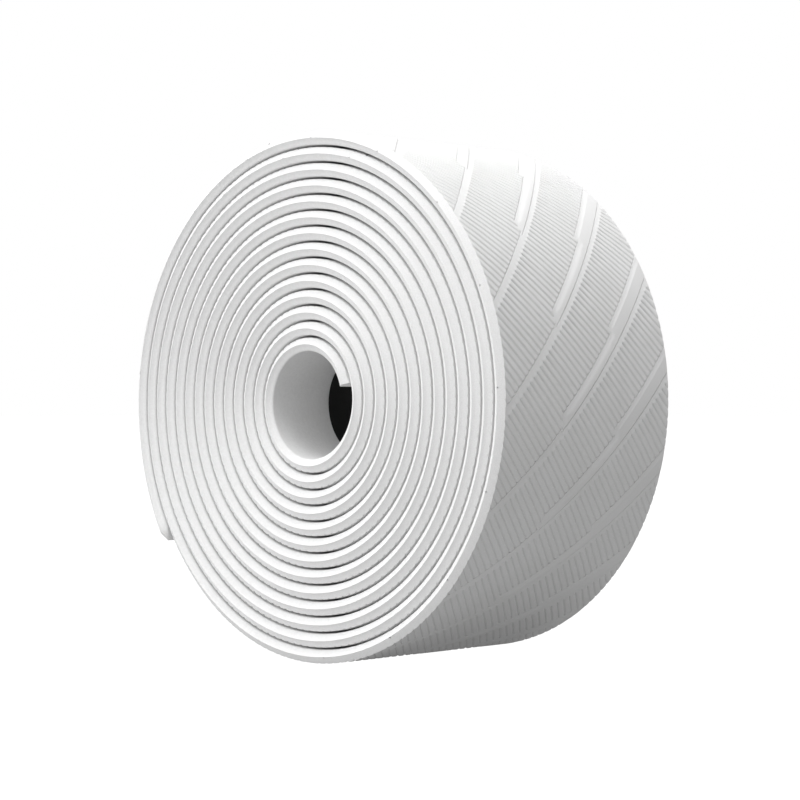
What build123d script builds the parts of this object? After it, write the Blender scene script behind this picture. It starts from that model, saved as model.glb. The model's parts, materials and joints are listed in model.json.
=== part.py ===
"""Racket grip tape, wound on itself into a roll that stands on its rim.

The tape is one long strip in four layers: an embossed surface layer, a cushion layer,
an adhesive strip along the middle of the back, and the release liner over it. The surface
and cushion layers meet at the crease of the bevelled edges. The outer end of the tape can
be peeled off the roll. That loose stretch, the tail, is a chain of short lengths, each
hinged to the one before, and the rest of the tape is the coil.

Frame: the roll's axis is Y, its front face looks along -Y, and +Z is up. The origin is on
the axis, halfway across the tape. Seen from the front, the tape winds outwards
anticlockwise. A winding angle is counted from +X in that direction and goes on growing
from turn to turn.
"""

from build123d import *
from math import cos, degrees, radians, sin
import os

os.makedirs("parts", exist_ok=True)

# ---- Driving dimensions, in millimetres and degrees ----

# The tape's section
tape_width = 30.0  # from crease to crease
edge_bevel = 0.55  # how far each face is set back from the crease
surface_thickness = 0.82
cushion_thickness = 0.82
adhesive_width = 9.4
adhesive_thickness = 0.10
liner_width = 10.3
liner_thickness = 0.08
liner_clearance = 0.09  # air between the liner and the turn below it

# The winding
core_radius = 5.58  # from the axis to the cushion, at winding angle 0
inner_end_angle = 15.0  # where the tape starts, cut square
tail_start_angle = 13 * 360 + 90.0  # where the tape is first peeled off, at the top
outer_end_angle = 13 * 360 + 210.5  # where the tape ends
tip_length = 1.58  # how far the chamfered tip runs on past the outer end

# The tail
tail_lengths = 5
joint_gap = 0.10  # between one length of the tail and the next

# ---- Values that follow from them ----

half_width = tape_width / 2
half_face = half_width - edge_bevel
backing = adhesive_thickness + liner_thickness
pitch = surface_thickness + cushion_thickness + backing + liner_clearance
step = pitch / 4  # the winding's growth in a quarter turn
first_radius = core_radius + cushion_thickness + step / 2
length_angle = (outer_end_angle - tail_start_angle) / tail_lengths

# Each layer's section, as distance outwards from the crease and place across the tape
surface_section = [
    (0, -half_width),
    (surface_thickness, -half_face),
    (surface_thickness, half_face),
    (0, half_width),
]
cushion_section = [
    (0, -half_width),
    (-cushion_thickness, -half_face),
    (-cushion_thickness, half_face),
    (0, half_width),
]


def strip_section(width, depth, thickness):
    """A flat strip on the tape's back, starting at a depth below the crease."""
    return [
        (-depth, -width / 2),
        (-depth - thickness, -width / 2),
        (-depth - thickness, width / 2),
        (-depth, width / 2),
    ]


adhesive_section = strip_section(adhesive_width, cushion_thickness, adhesive_thickness)
liner_section = strip_section(liner_width, cushion_thickness + adhesive_thickness, liner_thickness)


def quarter_turn(index):
    """The centre and radius of the crease in one quarter turn.

    The winding is a chain of quarter circles. Their centres go round a small square whose
    side is the growth in a quarter turn, so each arc runs smoothly into the next and the
    turns stay one pitch apart everywhere.
    """
    corners = [(-0.5, 0.5), (-0.5, -0.5), (0.5, -0.5), (0.5, 0.5)]
    corner_x, corner_z = corners[index % 4]
    centre = Vector(corner_x * step, 0, corner_z * step)
    return centre, first_radius + index * step


def quarters_between(start_angle, end_angle):
    """The stretch of each quarter turn that lies between two winding angles."""
    first = int(start_angle // 90)
    last = int((end_angle - 0.001) // 90)
    stretches = []
    for index in range(first, last + 1):
        from_angle = max(start_angle, index * 90)
        to_angle = min(end_angle, (index + 1) * 90)
        stretches.append((index, from_angle, to_angle))
    return stretches


def directions(winding_angle):
    """Unit vectors away from the axis and along the tape, at a winding angle."""
    turn = radians(winding_angle)
    outwards = Vector(cos(turn), 0, sin(turn))
    along = Vector(-sin(turn), 0, cos(turn))
    return outwards, along


def wind(section, start_angle, end_angle):
    """Winds a section of the tape from one angle to another, into the part being built."""
    for index, from_angle, to_angle in quarters_between(start_angle, end_angle):
        centre, radius = quarter_turn(index)
        outwards, along = directions(from_angle)
        with BuildSketch(Plane(origin=centre, x_dir=outwards, z_dir=along)) as profile:
            Polygon(*[(radius + out, across) for out, across in section], align=None)
        winding_axis = Axis(centre, (0, -1, 0))
        revolve(profile.sketch, axis=winding_axis, revolution_arc=to_angle - from_angle)


def gap_angle(winding_angle):
    """The angle that the joint gap takes at a place on the winding."""
    radius = quarter_turn(int(winding_angle // 90))[1]
    return degrees(joint_gap / radius)


def trim_through(first, second, third, outside):
    """Cuts the part being built at the plane of three points and drops the outer side."""
    normal = (second - first).cross(third - first).normalized()
    if normal.dot(outside) < 0:
        normal = normal * -1
    split(bisect_by=Plane(origin=first, z_dir=normal), keep=Keep.BOTTOM)


def chamfer_tip(face_height):
    """Chamfers one face of the tape down to its tip, with a facet at each corner."""
    centre, radius = quarter_turn(int(outer_end_angle // 90))
    outwards, along = directions(outer_end_angle)
    crease = centre + outwards * radius
    face = crease + outwards * face_height
    tip = crease + along * tip_length
    across = Vector(0, 1, 0)
    outside = outwards * face_height + along
    trim_through(face, face + across, tip, outside)
    for side in (-1, 1):
        face_corner = face + across * side * half_face
        crease_corner = crease + across * side * half_width
        tip_corner = tip + across * side * half_face
        trim_through(face_corner, crease_corner, tip_corner, outside + across * side)


def export_piece(builder, name):
    builder.part.label = name
    export_step(builder.part, f"parts/{name}.step")
    print(name, round(builder.part.volume, 2), "mm3")


# ---- Coil: the tape from its inner end to where it is first peeled off ----

with BuildPart() as coil_surface:
    wind(surface_section, inner_end_angle, tail_start_angle)
export_piece(coil_surface, "coil_surface")

with BuildPart() as coil_cushion:
    wind(cushion_section, inner_end_angle, tail_start_angle)
export_piece(coil_cushion, "coil_cushion")

with BuildPart() as coil_adhesive:
    wind(adhesive_section, inner_end_angle, tail_start_angle)
export_piece(coil_adhesive, "coil_adhesive")

with BuildPart() as coil_liner:
    wind(liner_section, inner_end_angle, tail_start_angle)
export_piece(coil_liner, "coil_liner")

# ---- Tail: the last stretch of the tape, in hinged lengths ----

tip_radius = quarter_turn(int(outer_end_angle // 90))[1]
tip_angle = degrees((tip_length + cushion_thickness) / tip_radius)

for number in range(1, tail_lengths + 1):
    cut_angle = tail_start_angle + (number - 1) * length_angle
    start_angle = cut_angle + gap_angle(cut_angle)
    end_angle = cut_angle + length_angle
    is_last = number == tail_lengths
    # The last length is wound on past the tape's end, for its tip to be cut from
    body_end_angle = end_angle + tip_angle if is_last else end_angle

    with BuildPart() as tail_surface:
        wind(surface_section, start_angle, body_end_angle)
        if is_last:
            chamfer_tip(surface_thickness)
    export_piece(tail_surface, f"tail_{number}_surface")

    with BuildPart() as tail_cushion:
        wind(cushion_section, start_angle, body_end_angle)
        if is_last:
            chamfer_tip(-cushion_thickness)
    export_piece(tail_cushion, f"tail_{number}_cushion")

    with BuildPart() as tail_adhesive:
        wind(adhesive_section, start_angle, end_angle)
    export_piece(tail_adhesive, f"tail_{number}_adhesive")

    with BuildPart() as tail_liner:
        wind(liner_section, start_angle, end_angle)
    export_piece(tail_liner, f"tail_{number}_liner")
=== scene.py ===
# %% [markdown]
# # A roll of racket grip tape
#
# Grip tape is a long strip of cushioned polyurethane that players wind round a racket handle. It is
# sold wound on itself. This file builds the roll as it is made: an embossed surface layer, a foam
# cushion under it, an adhesive strip along the back and the black paper that protects the adhesive.
#
# The mechanical frame comes first. It holds the size of the roll, and the loose end of the tape as a
# chain of five hinged lengths. Everything below is placed by it.

# %% Load the frame
import json
import math

import bmesh
import bpy
import numpy as np
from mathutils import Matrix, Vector

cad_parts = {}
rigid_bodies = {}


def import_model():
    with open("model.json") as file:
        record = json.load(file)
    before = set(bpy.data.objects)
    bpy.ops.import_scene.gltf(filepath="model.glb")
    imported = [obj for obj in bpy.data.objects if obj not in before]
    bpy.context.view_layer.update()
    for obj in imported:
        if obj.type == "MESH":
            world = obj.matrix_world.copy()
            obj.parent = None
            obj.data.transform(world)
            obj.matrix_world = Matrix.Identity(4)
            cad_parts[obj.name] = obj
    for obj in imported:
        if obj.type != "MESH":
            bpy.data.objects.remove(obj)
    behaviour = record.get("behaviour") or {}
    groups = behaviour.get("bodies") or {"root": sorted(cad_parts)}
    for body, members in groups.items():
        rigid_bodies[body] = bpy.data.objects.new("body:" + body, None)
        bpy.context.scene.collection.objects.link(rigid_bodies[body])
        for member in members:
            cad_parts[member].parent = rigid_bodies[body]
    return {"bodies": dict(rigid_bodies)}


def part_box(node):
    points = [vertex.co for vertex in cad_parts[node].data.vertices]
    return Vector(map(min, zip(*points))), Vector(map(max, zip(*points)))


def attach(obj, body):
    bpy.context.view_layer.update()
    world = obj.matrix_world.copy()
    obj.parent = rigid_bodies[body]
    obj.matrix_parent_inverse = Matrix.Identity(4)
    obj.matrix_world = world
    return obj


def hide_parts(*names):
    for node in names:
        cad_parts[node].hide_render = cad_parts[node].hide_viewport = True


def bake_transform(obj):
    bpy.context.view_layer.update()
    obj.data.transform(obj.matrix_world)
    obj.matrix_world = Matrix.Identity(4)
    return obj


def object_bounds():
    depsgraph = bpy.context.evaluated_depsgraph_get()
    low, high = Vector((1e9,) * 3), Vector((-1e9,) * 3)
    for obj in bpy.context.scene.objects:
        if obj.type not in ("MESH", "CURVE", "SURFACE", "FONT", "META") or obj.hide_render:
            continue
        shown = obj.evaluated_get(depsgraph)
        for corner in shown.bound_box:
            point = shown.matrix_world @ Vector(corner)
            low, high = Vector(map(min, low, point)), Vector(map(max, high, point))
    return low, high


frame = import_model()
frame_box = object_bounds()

MM = 0.001
print("frame box, mm:", [round(side / MM, 1) for side in frame_box[1] - frame_box[0]])

# %% [markdown]
# ## The camera
#
# A roll is shown like this in a catalogue: the camera is level with the middle of the roll and looks
# at it from halfway between its face and its side. A short lens close up would swell the near edge,
# so the lens is long. The focal length is chosen for that, and the distance then sets how much of
# the frame the roll fills.

# %% Camera
camera_data = bpy.data.cameras.new("catalogue_camera")
camera_data.sensor_width = 36.0
camera_data.lens = 100.23
camera_data.clip_start = 10 * MM
camera = bpy.data.objects.new("catalogue_camera", camera_data)
camera.location = (197.89 * MM, -196.83 * MM, 0.14 * MM)
camera.rotation_euler = (math.radians(90), 0, math.radians(45))
bpy.context.scene.collection.objects.link(camera)
bpy.context.scene.camera = camera
print("camera, mm from the middle of the roll:", round(camera.location.length / MM))

# %% [markdown]
# ## The winding
#
# Each turn of a wound strip is one thickness further out than the last, which makes a spiral. A true
# spiral bends a little less at every point. A chain of quarter circles looks the same and is simpler
# to measure along: each quarter has its centre on the next corner of a tiny square, and a radius a
# little larger than the last.
#
# A place on the tape is then three numbers: the winding angle, the distance outwards from the crease
# where the two layers meet, and the place across the tape. All sizes are in millimetres until a point
# is put in space.

# %% Sizes of the tape and of the winding
surface_low, surface_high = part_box("coil_surface")
tape_width = (surface_high.y - surface_low.y) / MM
half_width = tape_width / 2
edge_bevel = 0.55
half_face = half_width - edge_bevel
surface_thickness = 0.82
cushion_thickness = 0.82
adhesive_thickness = 0.10
liner_thickness = 0.08
liner_clearance = 0.09
pitch = surface_thickness + cushion_thickness + adhesive_thickness + liner_thickness + liner_clearance
quarter_growth = pitch / 4
core_radius = 5.58
first_radius = core_radius + cushion_thickness + quarter_growth / 2
print("tape width, mm:", round(tape_width, 2), " one turn every", round(pitch, 2))

# %% Where the tape starts, where it peels and where it ends, in degrees of winding
inner_end_angle = 15.0
last_turn = 13 * 360.0
peel_angle = last_turn + 90
outer_end_angle = last_turn + 210.5
tip_length = 1.58
tail_bodies = sorted(name for name in frame["bodies"] if name.startswith("tail_"))
length_angle = (outer_end_angle - peel_angle) / len(tail_bodies)
print(len(tail_bodies), "lengths of loose tape,", round(length_angle, 1), "degrees each")

# %% A place on the tape, in space
corner_x = np.array([-0.5, -0.5, 0.5, 0.5]) * quarter_growth
corner_z = np.array([0.5, -0.5, -0.5, 0.5]) * quarter_growth


def place(angle, out, across):
    """Points in metres for winding angles in degrees, distances outwards and places across."""
    quarter = np.floor(np.asarray(angle) / 90).astype(int)
    radius = first_radius + quarter * quarter_growth + out
    turn = np.radians(angle)
    x = corner_x[quarter % 4] + radius * np.cos(turn)
    z = corner_z[quarter % 4] + radius * np.sin(turn)
    return np.stack(np.broadcast_arrays(x, across, z), axis=-1) * MM


print("top of the coil, mm:", np.round(place(peel_angle, surface_thickness, 0) / MM, 2))

# %% [markdown]
# The pattern on the tape is pressed into a flat sheet before the sheet is slit and wound. So it is
# drawn here on a flat ruler too: the length along the outer face. A table of the quarter circles is
# enough to change a length into an angle and back.

# %% Length along the outer face, and back to an angle
quarters_on_ruler = 60
quarters = np.arange(quarters_on_ruler)
quarter_lengths = (first_radius + quarters * quarter_growth + surface_thickness) * math.pi / 2
ruler_angles = np.append(quarters, quarters[-1] + 1) * 90.0
ruler_lengths = np.append(0, np.cumsum(quarter_lengths))
ruler_lengths = ruler_lengths - np.interp(last_turn, ruler_angles, ruler_lengths)


def length_at(angle):
    return float(np.interp(angle, ruler_angles, ruler_lengths))


def angle_at(length):
    return np.interp(length, ruler_lengths, ruler_angles)


end_length = length_at(outer_end_angle)
tip_end = end_length + tip_length
print("tape length along its outer face, mm:", round(end_length - length_at(inner_end_angle)))

# %% [markdown]
# ## The embossed pattern
#
# The surface is pressed while it is warm by a roller with the pattern cut in it. Fine grooves run
# across the tape at 45 degrees and let sweat away. Slanting bands cross them at right angles. A band
# starts as one smooth channel, a third of the way across a second channel leaves it and runs beside
# it, and further on the second one steps out once more. A channel begins with a low step down. Its
# floor then slopes gently, and it ends in a narrow crease that shows as a thin dark line.
#
# Bump in a material would show neither at the edge of the roll nor from close by, so the grooves and
# channels are cut in the mesh. The depth across a channel is a short table of places and depths.
# Ramps, which go from 0 to 1 over the width of a wall, say how far across the tape it runs.

# %% Sizes of the pattern, along the tape
band_spacing = 12.08
ribs_per_band = 10
rib_spacing = band_spacing / ribs_per_band
groove_half = 0.27
groove_shoulder = 0.18
shoulder_share = 0.24
groove_depth = 0.17
groove_taper = 0.35
groove_fade = half_face - groove_taper
share_left_at_edge = 0.4
step_depth = 0.035
floor_depth = 0.05
crease_depth = 0.2
wall_width = 0.22
half_wall = wall_width / 2
channel_width = 0.94
wide_channel = 1.36
second_start = 2.12
second_end = second_start + channel_width
outer_end = second_end + channel_width
first_jog = -4.73
second_jog = 4.75
jog_width = 0.68
print("a groove every", round(rib_spacing, 3), "mm, a band every", band_spacing, "mm")

# %% Channels and the bands they lie in


def ramp(value, edge):
    """0 before an edge and 1 after it, rising over the width of a wall."""
    return np.clip((value - edge) / wall_width + 0.5, 0, 1)


def between(value, start, end):
    return np.minimum(ramp(value, start), 1 - ramp(value, end))


def channel(u, start, end):
    """The depth of a channel: a low step, a gently sloping floor, and a crease at its end."""
    places = [start, start + half_wall, end - half_wall, end, end + half_wall]
    return np.interp(u, places, [0, step_depth, floor_depth, crease_depth, 0])


def channels_depth(u, y):
    """The depth of all the channels for a place u across the band."""
    past_first, past_second = ramp(y, first_jog), ramp(y, second_jog)
    parts = [
        channel(u, 0, wide_channel) * (1 - past_first),
        channel(u, 0, channel_width) * past_first,
        channel(u, 0, second_end) * between(y, first_jog, first_jog + jog_width),
        channel(u, second_start, second_end) * past_first * (1 - past_second),
        channel(u, second_start, outer_end) * between(y, second_jog, second_jog + jog_width),
        channel(u, second_end, outer_end) * past_second,
    ]
    return np.maximum.reduce(parts)


def band_share(u, y):
    """1 inside a band, where there are no grooves."""
    edge = wide_channel + (second_end - wide_channel) * ramp(y, first_jog)
    edge = edge + (outer_end - second_end) * ramp(y, second_jog)
    return np.minimum(ramp(u, 0), 1 - ramp(u, edge))


# %% Grooves, and the depth of the whole pattern
groove_profile = ([0, groove_shoulder, groove_half], [1, shoulder_share, 0])
edge_profile = ([groove_fade, half_face], [1, share_left_at_edge])


def edge_share(y):
    """1 over most of the tape's width, and less close to its edges."""
    return np.interp(np.abs(y), *edge_profile)


def grooves_depth(length, y):
    from_groove = np.abs((length + y + rib_spacing / 2) % rib_spacing - rib_spacing / 2)
    return groove_depth * np.interp(from_groove, *groove_profile) * edge_share(y)


def pattern_depth(length, y):
    u = (length - y + wall_width) % band_spacing - wall_width
    grooves = grooves_depth(length, y) * (1 - band_share(u, y))
    return channels_depth(u, y) * edge_share(y) + grooves


samples = pattern_depth(np.linspace(0, band_spacing, 500), 0.0)
print("pattern depth in the middle of the tape, mm:", samples.min().round(3), samples.max().round(3))

# %% [markdown]
# The height of the surface is its thickness less the depth of the pattern, and never more than the
# bevels allow. Each edge of the tape is skived to a crease, and its outer end is skived to a line, so
# that a wound grip has no step. Taking the lower of the two heights lets a groove run out through the
# bevel, as it does where a knife trims an embossed sheet.

# %% Height of the surface above the crease


def bevel_share(length, y):
    """The share of the thickness that the skived edges and the skived end leave."""
    over_edge = np.clip((np.abs(y) - half_face) / edge_bevel, 0, None)
    over_end = np.clip((length - end_length) / tip_length, 0, None)
    return np.clip(1 - over_edge - over_end, 0, 1)


def surface_height(length, y, depth):
    return np.minimum(surface_thickness - depth, surface_thickness * bevel_share(length, y))


# %% [markdown]
# ## Making the embossed sheet
#
# All long edges of the pattern lie along two slanted directions at right angles. A grid along those
# two directions has a line of points on each of them, so a few points describe a sharp crease. It
# could be a very fine square grid instead, but that takes many more faces and still cuts a slanted
# crease into steps. The slanted grid is then trimmed to the outline of the tape with straight cuts,
# as with a knife.

# %% Lines of the grid
walled_edges = [0, channel_width, wide_channel, second_end, outer_end]
band_lines = [edge + side * half_wall for edge in walled_edges for side in (-1, 0, 1)]
band_lines += [second_start, second_start + half_wall]
field_lines = [(outer_end + band_spacing) / 2]
groove_lines = [-groove_half, -groove_shoulder, 0, groove_shoulder, groove_half]
coarse_half = groove_half - 0.05
coarse_groove_lines = [-coarse_half, 0, coarse_half]


def repeated(lines, spacing, start, end):
    """A set of lines repeated at a spacing, as far as they lie between start and end."""
    turns = range(math.floor(start / spacing) - 1, math.ceil(end / spacing) + 2)
    every = {round(turn * spacing + line, 5) for turn in turns for line in lines}
    return np.array(sorted(line for line in every if start < line < end))


print(len(band_lines + field_lines), "lines in a band,", len(groove_lines), "in a rib")

# %% Straight cuts in a flat sheet
TOUCH = 1e-4
deepest_at_edge = 0.15
groove_reach = half_face + edge_bevel * deepest_at_edge / surface_thickness


def cut(sheet, point, normal, drop=False):
    """Cuts the sheet along a line through a point, and drops what lies beyond it if asked."""
    bmesh.ops.bisect_plane(
        sheet,
        geom=[*sheet.verts, *sheet.edges, *sheet.faces],
        dist=TOUCH,
        plane_co=(*point, 0),
        plane_no=(*normal, 0),
        clear_outer=drop,
    )


def trim(sheet, start, end):
    """Trims a sheet to a stretch of the tape, and scores it where the bevels begin."""
    cut(sheet, (start, 0), (-1, 0), drop=True)
    cut(sheet, (end, 0), (1, 0), drop=True)
    if end > end_length:
        cut(sheet, (end_length, 0), (1, 0))
    for side in (-1, 1):
        cut(sheet, (0, side * half_width), (0, side), drop=True)
        cut(sheet, (0, side * half_face), (0, side))
        cut(sheet, (0, side * groove_reach), (0, side))
        cut(sheet, (0, side * groove_fade), (0, side))
        if end > end_length:
            cut(sheet, (end_length, side * half_width), (edge_bevel, side * tip_length), drop=True)
    for jog in (first_jog, first_jog + jog_width, second_jog, second_jog + jog_width):
        for side in (-1, 1):
            cut(sheet, (0, jog + side * half_wall), (0, 1))


# %% A flat sheet with every line of the pattern in it
grid_overrun = 17
grid_margin = 2


def embossed_sheet(start, end):
    """The top of a stretch of surface, flat: x is the length along the tape, y the place across."""
    first, last = start - grid_overrun, end + grid_overrun
    u = repeated(band_lines + field_lines, band_spacing, first, last)
    v = repeated(groove_lines, rib_spacing, first, last)
    grid_u, grid_v = np.meshgrid(u, v, indexing="ij")
    length, across = (grid_u + grid_v) / 2, (grid_v - grid_u) / 2
    near = (length > start - grid_margin) & (length < end + grid_margin)
    near &= np.abs(across) < half_width + grid_margin
    sheet = bmesh.new()
    points = {}
    for i, j in zip(*np.nonzero(near)):
        points[i, j] = sheet.verts.new((length[i, j], across[i, j], 0))
    for i, j in points:
        corners = [points.get(key) for key in ((i, j), (i + 1, j), (i + 1, j + 1), (i, j + 1))]
        if all(corners):
            sheet.faces.new(corners)
    trim(sheet, start, end)
    return sheet


# %% [markdown]
# ## Closing a stretch of tape
#
# A trimmed sheet is only the top. Under it lies the flat face that is glued to the foam, and at each
# end the square cut through the tape. The edges of the top are creases of no thickness, so the flat
# face can use their points: it is a ladder of thin triangles from one crease to the other.

# %% A ladder of triangles between two rows of points


def ladder(sheet, near_row, far_row):
    """Joins two rows of points, which both run along the tape, with triangles."""
    i, j = 0, 0
    while i + 1 < len(near_row) or j + 1 < len(far_row):
        near_done, far_done = i + 1 == len(near_row), j + 1 == len(far_row)
        if far_done or (not near_done and near_row[i + 1].co.x <= far_row[j + 1].co.x):
            sheet.faces.new([near_row[i], far_row[j], near_row[i + 1]])
            i += 1
        else:
            sheet.faces.new([near_row[i], far_row[j], far_row[j + 1]])
            j += 1


def close_sheet(sheet, start, end):
    """Closes a trimmed sheet with the flat face under it and with its two ends."""
    rim = [vert for vert in sheet.verts if vert.is_boundary]
    at_end = sorted((v for v in rim if v.co.x > end - TOUCH), key=lambda v: v.co.y)
    at_start = sorted((v for v in rim if v.co.x < start + TOUCH), key=lambda v: v.co.y)
    rows = []
    for side in (-1, 1):
        crease = [v for v in rim if side * v.co.y > half_width - TOUCH]
        skived = [v for v in rim if end_length + TOUCH < v.co.x < end - TOUCH and side * v.co.y > 0]
        rows.append(sorted({*crease, *skived}, key=lambda v: v.co.x))
    ladder(sheet, *rows)
    sheet.faces.new(at_start)
    if end > end_length:
        sheet.faces.new([rows[0][-1], *at_end, rows[1][-1]])
    else:
        sheet.faces.new(at_end)
    bmesh.ops.recalc_face_normals(sheet, faces=sheet.faces)


# %% From a flat sheet to a wound piece
SHARP_ANGLE = math.radians(28)


def finish_piece(name, sheet, points):
    """Makes an object of a sheet, whose points are moved to their places on the roll."""
    mesh = bpy.data.meshes.new(name)
    sheet.to_mesh(mesh)
    sheet.free()
    mesh.vertices.foreach_set("co", points.ravel())
    mesh.update()
    mesh.shade_smooth()
    mesh.set_sharp_from_angle(angle=SHARP_ANGLE)
    piece = bpy.data.objects.new(name, mesh)
    bpy.context.scene.collection.objects.link(piece)
    return piece


def flat_points(sheet):
    sheet.verts.index_update()
    return np.array([vert.co for vert in sheet.verts], float)


def embossed_piece(name, start_angle, end_angle):
    """A stretch of the surface layer with the whole pattern in it."""
    start = length_at(start_angle)
    end = tip_end if end_angle >= outer_end_angle else length_at(end_angle)
    sheet = embossed_sheet(start, end)
    close_sheet(sheet, start, end)
    length, across = flat_points(sheet)[:, :2].T
    height = surface_height(length, across, pattern_depth(length, across))
    return finish_piece(name, sheet, place(angle_at(length), height, across))


# %% [markdown]
# ## The surface layer
#
# The outermost turn shows, and so does the turn that the loose end uncovers when it is peeled. That
# stretch gets the whole pattern. The loose end is made of five bridges. A bridge reaches from the
# middle of one hinged length to the middle of the next, so each one crosses a single hinge, and the
# bridges meet end to end.

# %% Outer turn and loose end
uncovered_from = 70
pattern_start = last_turn - 360 + uncovered_from
first_middle = peel_angle - length_angle / 2
outer_turn = embossed_piece("surface_outer_turn", pattern_start, first_middle)
print("outer turn:", len(outer_turn.data.polygons), "faces")

middles = [first_middle + k * length_angle for k in range(len(tail_bodies))]
bridge_ends = [*middles[1:], outer_end_angle]
surface_bridges = []
for k, (start_angle, end_angle) in enumerate(zip(middles, bridge_ends), start=1):
    surface_bridges.append(embossed_piece(f"surface_bridge_{k}", start_angle, end_angle))
print("faces in the bridges:", [len(piece.data.polygons) for piece in surface_bridges])

# %% [markdown]
# The turns under the outer one show only their edges, with the ends of the grooves between them as
# fine dashes. The whole pattern there would be a million faces that nobody can see. So the inner
# turns have the grooves only along their two edges, and are smooth in the middle. Each row of points
# runs along the tape, and a groove crosses the rows at the same slant as on the outer turn. The
# grooves are deeper here, so that their ends still show as dashes between the turns.
#
# The bevels of these turns are slightly hollow. The hollow fades out where the outer turn begins,
# since the outer turn has flat bevels.

# %% Inner turns
crease_step = 3.0
clear_of_ends = 1
dash_depth = 2.1
edge_hollow = 0.09
hollow_shares = (1, 0.75, 0.5, 0.28)
hollow_fade = 40.0


def quad_strip(sheet, outer_row, inner_row):
    """Joins two rows that have the same number of points with quads."""
    for k in range(len(outer_row) - 1):
        sheet.faces.new([outer_row[k], outer_row[k + 1], inner_row[k + 1], inner_row[k]])


def inner_turns(name, start_angle, end_angle):
    """The hidden turns of the surface layer, with grooves along their edges only."""
    start, end = length_at(start_angle), length_at(end_angle)
    creases = [length_at(a) for a in np.arange(start_angle, end_angle, crease_step)] + [end]
    sheet = bmesh.new()
    crease_rows, fade_rows, start_rows, end_rows = [], [], [], []
    for side in (-1, 1):
        rows = []
        shift = side * half_face
        first, last = start + shift + clear_of_ends, end + shift - clear_of_ends
        slant = repeated(coarse_groove_lines, rib_spacing, first, last)
        for across in (groove_reach, half_face, groove_fade):
            along = [start, *(slant - side * across), end]
            rows.append([sheet.verts.new((x, side * across, 0)) for x in along])
        for outer_row, inner_row in zip(rows, rows[1:]):
            quad_strip(sheet, outer_row, inner_row)
        bevel_rows = []
        for share in hollow_shares:
            across = side * (half_face + share * edge_bevel)
            bevel_rows.append([sheet.verts.new((x, across, 0)) for x in creases])
        for outer_row, inner_row in zip(bevel_rows, bevel_rows[1:]):
            quad_strip(sheet, outer_row, inner_row)
        ladder(sheet, bevel_rows[-1], rows[0])
        crease_rows.append(bevel_rows[0])
        fade_rows.append(rows[2])
        start_rows.append([row[0] for row in bevel_rows + rows])
        end_rows.append([row[-1] for row in bevel_rows + rows])
    ladder(sheet, *fade_rows)
    ladder(sheet, *crease_rows)
    for near_side, far_side in (start_rows, end_rows):
        sheet.faces.new([*near_side, *reversed(far_side)])
    bmesh.ops.recalc_face_normals(sheet, faces=sheet.faces)
    length, across = flat_points(sheet)[:, :2].T
    inside = np.clip((np.abs(across) - groove_fade) / (half_face - groove_fade), 0, 1)
    away_from_ends = (length > start + TOUCH) & (length < end - TOUCH)
    dashes = dash_depth * inside * away_from_ends * grooves_depth(length, across)
    height = surface_height(length, across, dashes)
    share = np.clip((np.abs(across) - half_face) / edge_bevel, 0, 1)
    hollow = np.clip((end_angle - angle_at(length)) / hollow_fade, 0, 1)
    height = height - edge_hollow * hollow * 4 * share * (1 - share)
    return finish_piece(name, sheet, place(angle_at(length), height, across))


hidden_turns = inner_turns("surface_inner_turns", inner_end_angle, pattern_start)
print("inner turns:", len(hidden_turns.data.polygons), "faces")

# %% [markdown]
# ## The layers under the surface
#
# The cushion, the adhesive strip and the release paper have the same section along the whole tape.
# Such a piece could be a curve with a profile, but a curve's profile can't keep its square ends and
# its creases exact. A sweep in code can: the section is set down every few degrees, and the rings
# are joined with quads. The cushion's bevels are slightly hollow too.

# %% Sections, as distance outwards and place across
adhesive_half = 4.7
liner_half = 5.15
shoulder = 3.87
back = -cushion_thickness
glue = back - adhesive_thickness
paper = glue - liner_thickness
lift = 0.015
droop = 0.075
bevel_back, bevel_across = back + 0.15, half_face + 0.10
cushion_hollow = 0.05
bevel_run = bevel_across - half_width
hollow_points = [
    (share * bevel_back, half_width + share * bevel_run - 4 * share * (1 - share) * cushion_hollow)
    for share in (0.25, 0.5, 0.75)
]
cushion_half_section = [
    (0, half_width),
    *hollow_points,
    (bevel_back, bevel_across),
    (back + 0.05, half_face + 0.01),
    (back + 0.01, half_face - 0.07),
    (back, half_face - 0.16),
]
adhesive_half_section = [(back, adhesive_half), (glue + lift, adhesive_half), (glue, shoulder)]
liner_half_section = [
    (glue, shoulder),
    (glue + lift, adhesive_half + 0.03),
    (glue + droop, liner_half),
    (paper + droop, liner_half + 0.01),
    (paper + lift, adhesive_half + 0.03),
    (paper, shoulder),
]


def whole_section(half_section):
    """A section closed by its mirror image on the other side of the tape's middle."""
    mirrored = [(out, -across) for out, across in reversed(half_section)]
    return np.array(half_section + mirrored)


# %% Sweep of a section
coil_step = 3.0
bridge_step = 1.5


def sweep(name, section, start_angle, end_angle, step):
    """A closed piece with the same section all along, from one winding angle to another."""
    count = max(2, round((end_angle - start_angle) / step) + 1)
    angles = np.linspace(start_angle, end_angle, count)
    points = np.concatenate([place(angle, section[:, 0], section[:, 1]) for angle in angles])
    sheet = bmesh.new()
    verts = [sheet.verts.new(point) for point in points]
    size = len(section)
    rings = [verts[k * size : (k + 1) * size] for k in range(count)]
    for ring, following in zip(rings, rings[1:]):
        for i in range(size):
            j = (i + 1) % size
            sheet.faces.new([ring[i], ring[j], following[j], following[i]])
    sheet.faces.new(rings[0])
    sheet.faces.new(rings[-1])
    bmesh.ops.recalc_face_normals(sheet, faces=sheet.faces)
    return finish_piece(name, sheet, points)


# %% The cushion's skived end


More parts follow.
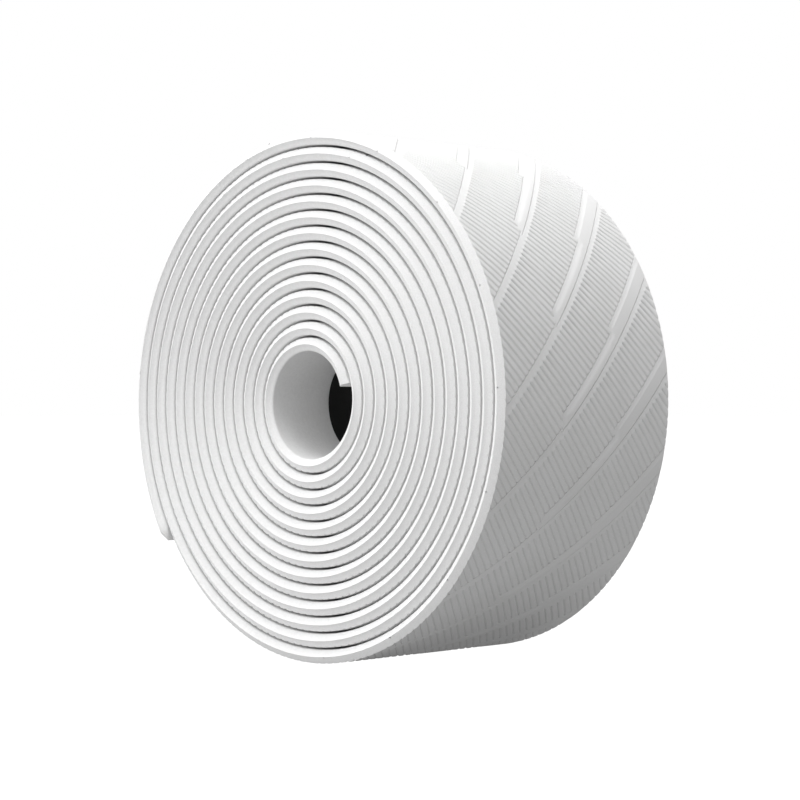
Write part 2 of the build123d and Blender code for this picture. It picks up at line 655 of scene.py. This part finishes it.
def skive_end(piece, section):
    """Runs a piece on to the line at the outer end of the tape, where it has no thickness left."""
    sheet = bmesh.new()
    sheet.from_mesh(piece.data)
    sheet.verts.ensure_lookup_table()
    ring = sheet.verts[-len(section) :]
    end_face = [face for face in sheet.faces if set(face.verts) == set(ring)]
    bmesh.ops.delete(sheet, geom=end_face, context="FACES_ONLY")
    middle = len(ring) // 2
    tip_angle = float(angle_at(tip_end))
    tips = [sheet.verts.new(place(tip_angle, 0, side * half_face)) for side in (1, -1)]
    for k in range(middle - 1):
        sheet.faces.new([ring[k], ring[k + 1], tips[0]])
        sheet.faces.new([ring[middle + k], ring[middle + k + 1], tips[1]])
    sheet.faces.new([ring[middle - 1], ring[middle], tips[1], tips[0]])
    sheet.faces.new([ring[-1], ring[0], tips[0], tips[1]])
    bmesh.ops.recalc_face_normals(sheet, faces=sheet.faces)
    sheet.to_mesh(piece.data)
    sheet.free()
    piece.data.shade_smooth()
    piece.data.set_sharp_from_angle(angle=SHARP_ANGLE)


# %% Coil and bridges of the three layers
layers = {
    "cushion": whole_section(cushion_half_section),
    "adhesive": whole_section(adhesive_half_section),
    "liner": whole_section(liner_half_section),
}
coil_layers, layer_bridges = {}, {}
for layer, section in layers.items():
    coil_layers[layer] = sweep(f"{layer}_coil", section, inner_end_angle, first_middle, coil_step)
    layer_bridges[layer] = [
        sweep(f"{layer}_bridge_{k}", section, start_angle, end_angle, bridge_step)
        for k, (start_angle, end_angle) in enumerate(zip(middles, bridge_ends), start=1)
    ]
    print(layer, "coil:", len(coil_layers[layer].data.polygons), "faces")
skive_end(layer_bridges["cushion"][-1], layers["cushion"])

# %% [markdown]
# ## Materials
#
# A material is a small network of nodes. Each one here starts from the place of a point on the
# object, makes a few kinds of noise from it at the size of the real grain, and lets the noise change
# colour, roughness and bump a little. White plastics look dead with one flat colour and one flat
# roughness, because real ones are never quite even.

# %% Helper for materials
FINE_BUMP = 0.00001


class Finish:
    """A material with one shader, and short ways to add the nodes that feed it."""

    def __init__(self, name, **uniform):
        self.material = bpy.data.materials.new(name)
        self.material.use_nodes = True
        self.tree = self.material.node_tree
        self.shader = self.tree.nodes["Principled BSDF"]
        for socket, value in uniform.items():
            self.shader.inputs[socket.replace("_", " ")].default_value = value
        self.place = self.node("ShaderNodeTexCoord").outputs["Object"]

    def node(self, kind, settings=None, **sockets):
        made = self.tree.nodes.new(kind)
        for key, value in (settings or {}).items():
            setattr(made, key, value)
        for socket, value in sockets.items():
            self.feed(value, made.inputs[socket.replace("_", " ")])
        return made

    def feed(self, value, socket):
        if isinstance(value, bpy.types.NodeSocket):
            self.tree.links.new(value, socket)
        else:
            socket.default_value = value

    def noise(self, scale, detail=2.0, roughness=0.5):
        return self.node(
            "ShaderNodeTexNoise", Vector=self.place, Scale=scale, Detail=detail, Roughness=roughness
        ).outputs["Fac"]

    def cells(self, scale):
        return self.node("ShaderNodeTexVoronoi", Vector=self.place, Scale=scale).outputs["Distance"]

    def between(self, factor, low, high, from_low=0.0, from_high=1.0):
        made = self.node("ShaderNodeMapRange", Value=factor)
        for socket, value in zip(made.inputs[1:5], (from_low, from_high, low, high)):
            socket.default_value = value
        return made.outputs["Result"]

    def blend(self, factor, first, second):
        made = self.node("ShaderNodeMix", {"data_type": "RGBA"})
        for value, socket in zip((factor, first, second), (made.inputs[0], *made.inputs[6:8])):
            self.feed(value, socket)
        return made.outputs[2]

    def bump(self, height, distance, strength=1.0, over=None):
        made = self.node("ShaderNodeBump", Height=height, Distance=distance, Strength=strength)
        if over is not None:
            self.feed(over, made.inputs["Normal"])
        return made.outputs["Normal"]

    def math(self, operation, first, second=0.0):
        made = self.node("ShaderNodeMath", {"operation": operation})
        self.feed(first, made.inputs[0])
        self.feed(second, made.inputs[1])
        return made.outputs[0]

    def across(self):
        """How far a point is from the middle of the tape, in metres."""
        split = self.node("ShaderNodeSeparateXYZ", Vector=self.place)
        return self.math("ABSOLUTE", split.outputs["Y"])

    def shade(self, **sockets):
        for socket, value in sockets.items():
            self.feed(value, self.shader.inputs[socket.replace("_", " ")])


# %% [markdown]
# ### Surface
#
# The surface is white polyurethane with a dry, slightly tacky skin. Under a magnifier it has the fine
# grain of leather. The skin is a little smoother where the press has polished it, and dust gives it a
# hint of warm grey in places. The skived edges are cut through the skin, so they are rougher.

# %% Surface material
surface_finish = Finish("grip_surface", Specular_IOR_Level=0.35)
knife_line, past_knife = half_face * MM, (half_face + 0.05) * MM
skived = surface_finish.between(surface_finish.across(), 0.0, 1.0, knife_line, past_knife)
grain = surface_finish.cells(5200.0)
pores = surface_finish.noise(9000.0, 3.0)
clouds = surface_finish.noise(140.0, 3.0)
dust = surface_finish.between(clouds, 0.0, 1.0, 0.35, 0.75)
skin_colour = surface_finish.blend(dust, (0.80, 0.80, 0.80, 1), (0.77, 0.77, 0.765, 1))
edge_speckle = surface_finish.between(pores, 0.0, 1.0, 0.35, 0.65)
edge_colour = surface_finish.blend(edge_speckle, (0.76, 0.76, 0.758, 1), (0.82, 0.82, 0.82, 1))
skin_roughness = surface_finish.between(clouds, 0.46, 0.62, 0.3, 0.7)
rougher_edge = surface_finish.math("MULTIPLY", skived, 0.15)
skin_bump = surface_finish.bump(grain, 0.4 * FINE_BUMP)
surface_finish.shade(
    Base_Color=surface_finish.blend(skived, skin_colour, edge_colour),
    Roughness=surface_finish.math("ADD", skin_roughness, rougher_edge),
    Normal=surface_finish.bump(pores, 0.3 * FINE_BUMP, over=skin_bump),
)
print("surface nodes:", len(surface_finish.tree.nodes))

# %% [markdown]
# ### Cushion
#
# The foam is full of tiny closed cells. Cutting it opens some of them, so the skived edges and the
# back have fine pits. The pits are also painted darker than the foam round them, as painted shade in
# the hollows.

# %% Cushion material
foam_finish = Finish("cushion_foam", Specular_IOR_Level=0.2)
pits = foam_finish.cells(7500.0)
mottle = foam_finish.noise(2600.0, 3.0, 0.6)
# Painted shade: the middles of the pits, where the bump dips, are painted darker.
pit_shade_mask = foam_finish.between(pits, 1.0, 0.0, 0.12, 0.35)
foam_tone = foam_finish.blend(
    foam_finish.between(mottle, 0.0, 1.0, 0.3, 0.7), (0.77, 0.77, 0.768, 1), (0.82, 0.82, 0.82, 1)
)
painted_pit_shade = foam_finish.math("MULTIPLY", pit_shade_mask, 0.25)
foam_finish.shade(
    Base_Color=foam_finish.blend(painted_pit_shade, foam_tone, (0.6, 0.6, 0.6, 1)),
    Roughness=foam_finish.between(mottle, 0.72, 0.88, 0.3, 0.7),
    Normal=foam_finish.bump(pits, FINE_BUMP, over=foam_finish.bump(mottle, FINE_BUMP)),
)
print("cushion nodes:", len(foam_finish.tree.nodes))

# %% [markdown]
# ### Adhesive strip
#
# A film carries the glue on both sides. It shows only as a pale line at the ends of the tape. Glue is
# glossier than foam, with small ripples where the film was laid.

# %% Adhesive material
adhesive_finish = Finish("adhesive_tape", Specular_IOR_Level=0.5)
ripple = adhesive_finish.noise(900.0, 2.0)
adhesive_finish.shade(
    Base_Color=adhesive_finish.blend(ripple, (0.78, 0.76, 0.70, 1), (0.84, 0.82, 0.76, 1)),
    Roughness=adhesive_finish.between(ripple, 0.22, 0.4, 0.3, 0.7),
    Normal=adhesive_finish.bump(ripple, FINE_BUMP),
)
print("adhesive nodes:", len(adhesive_finish.tree.nodes))

# %% [markdown]
# ### Release paper
#
# The paper over the glue is black and calendered: smooth, with a weak sheen and faint fibres along
# the tape. Its two edges lie free beside the glue. They are painted a slightly lighter black than the
# middle: painted light, as if more light reached the edges than the middle.

# %% Release paper material
paper_finish = Finish("release_paper", Specular_IOR_Level=0.3)
fibre = paper_finish.noise(4200.0, 4.0, 0.6)
# Painted light: the paper is painted a lighter black towards its two edges, broken up by the fibres.
painted_edge_light = paper_finish.between(paper_finish.across(), 0.0, 1.0, shoulder * MM, liner_half * MM)
painted_edge_light_in_fibre = paper_finish.math("MULTIPLY", painted_edge_light, paper_finish.between(fibre, 0.6, 1.0, 0.3, 0.7))
paper_finish.shade(
    Base_Color=paper_finish.blend(painted_edge_light_in_fibre, (0.006, 0.006, 0.006, 1), (0.016, 0.016, 0.016, 1)),
    Roughness=paper_finish.between(fibre, 0.42, 0.6, 0.3, 0.7),
    Normal=paper_finish.bump(fibre, 0.6 * FINE_BUMP),
)
print("release paper nodes:", len(paper_finish.tree.nodes))

# %% [markdown]
# ## Joining the pieces to the frame
#
# The coil's pieces ride on the coil. Each bridge is left where it is made, from the middle of one
# length to the middle of the next, and is not attached to a body. The plain solids of the frame stay
# for collisions, and the pieces here stand in for them.

# %% Pieces, bodies and finishes
bodies = ["coil", *tail_bodies]


def dress(piece, finish):
    piece.data.materials.append(finish.material)


def join_layer(layer, coil_pieces, bridges, finish):
    for piece in coil_pieces:
        dress(piece, finish)
        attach(piece, "coil")
        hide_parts(f"coil_{layer}")
    for k, piece in enumerate(bridges):
        dress(piece, finish)
        start = place(middles[k], 0, 0)
        end = place(middles[k] + length_angle, 0, 0)
        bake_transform(piece)
        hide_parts(f"{bodies[k + 1]}_{layer}")


join_layer("surface", [hidden_turns, outer_turn], surface_bridges, surface_finish)
under_layers = [
    ("cushion", foam_finish, "cushion_foam"),
    ("adhesive", adhesive_finish, "adhesive_tape"),
    ("liner", paper_finish, "release_paper"),
]
for layer, finish, slot in under_layers:
    join_layer(layer, [coil_layers[layer]], layer_bridges[layer], finish)

# %% [markdown]
# ## Stage and light
#
# A white object on white needs light that comes from everywhere but not equally, or its edges melt
# away. Four large soft lights do the first part. The strongest is above and gives the bright top.
# One high in front and one level with the roll show the face, and one at the left lights it from the
# side. A weak even light fills the rest.
#
# The floor is a wide grey sheet with a weak glow. A photographer would light it on its own until it
# is as white as the wall behind. Here its shader does that: to the camera it is mostly its own light,
# and the roll still sees dim paper that throws a little light back up.

# %% Floor
roll_bottom = frame_box[0].z
floor_radius = 4.0
floor_sheet = bmesh.new()
bmesh.ops.create_circle(floor_sheet, cap_ends=True, segments=96, radius=floor_radius)
floor_mesh = bpy.data.meshes.new("floor")
floor_sheet.to_mesh(floor_mesh)
floor_sheet.free()
floor = bpy.data.objects.new("floor", floor_mesh)
bpy.context.scene.collection.objects.link(floor)
floor.location.z = roll_bottom
print("floor at, mm:", round(roll_bottom / MM, 2))

# %% Floor material
floor_glow = 0.18
seen_glow = 1.22
seen_glow_share = 0.85
floor_finish = Finish(
    "floor_paper",
    Roughness=0.9,
    Specular_IOR_Level=0.1,
    Emission_Color=(1, 1, 1, 1),
    Emission_Strength=floor_glow,
)
floor_tone = floor_finish.noise(6.0, 2.0)
floor_colour = floor_finish.blend(floor_tone, (0.19, 0.19, 0.19, 1), (0.21, 0.21, 0.21, 1))
floor_finish.shade(Base_Color=floor_colour)
own_light = floor_finish.node("ShaderNodeEmission", Color=(1, 1, 1, 1), Strength=seen_glow)
to_camera = floor_finish.node("ShaderNodeLightPath").outputs["Is Camera Ray"]
floor_shader = floor_finish.node("ShaderNodeMixShader")
own_share = floor_finish.math("MULTIPLY", to_camera, seen_glow_share)
surfaces = (own_share, floor_finish.shader.outputs["BSDF"], own_light.outputs["Emission"])
for value, socket in zip(surfaces, floor_shader.inputs):
    floor_finish.feed(value, socket)
floor_output = floor_finish.tree.nodes["Material Output"]
floor_finish.feed(floor_shader.outputs["Shader"], floor_output.inputs["Surface"])
floor_mesh.materials.append(floor_finish.material)

# %% Lights
light_distance = 0.8
light_size = 0.7


def soft_light(name, direction, power):
    """A large square light that faces the roll."""
    data = bpy.data.lights.new(name, "AREA")
    data.size = light_size
    data.energy = power
    light = bpy.data.objects.new(name, data)
    light.location = Vector(direction).normalized() * light_distance
    light.rotation_euler = Vector(direction).to_track_quat("Z", "Y").to_euler()
    bpy.context.scene.collection.objects.link(light)


soft_light("top_light", (0, 0, 1), 6.3)
soft_light("upper_front_light", (0, -0.6, 0.8), 1.8)
soft_light("front_light", (0, -1, 0.1), 2.6)
soft_light("left_light", (-0.7, -0.7, 0.1), 3.6)

# %% Even light, and the white behind the floor
even_light = 0.41
white_behind = 1.0
world = bpy.data.worlds.new("even_light")
world.use_nodes = True
world_nodes, world_links = world.node_tree.nodes, world.node_tree.links
background = world_nodes["Background"]
background.inputs["Color"].default_value = (1, 1, 1, 1)
seen = world_nodes.new("ShaderNodeLightPath")
strength = world_nodes.new("ShaderNodeMapRange")
strength.inputs["To Min"].default_value = even_light
strength.inputs["To Max"].default_value = white_behind
world_links.new(seen.outputs["Is Camera Ray"], strength.inputs["Value"])
world_links.new(strength.outputs["Result"], background.inputs["Strength"])
bpy.context.scene.world = world
bpy.context.scene.view_settings.view_transform = "Standard"
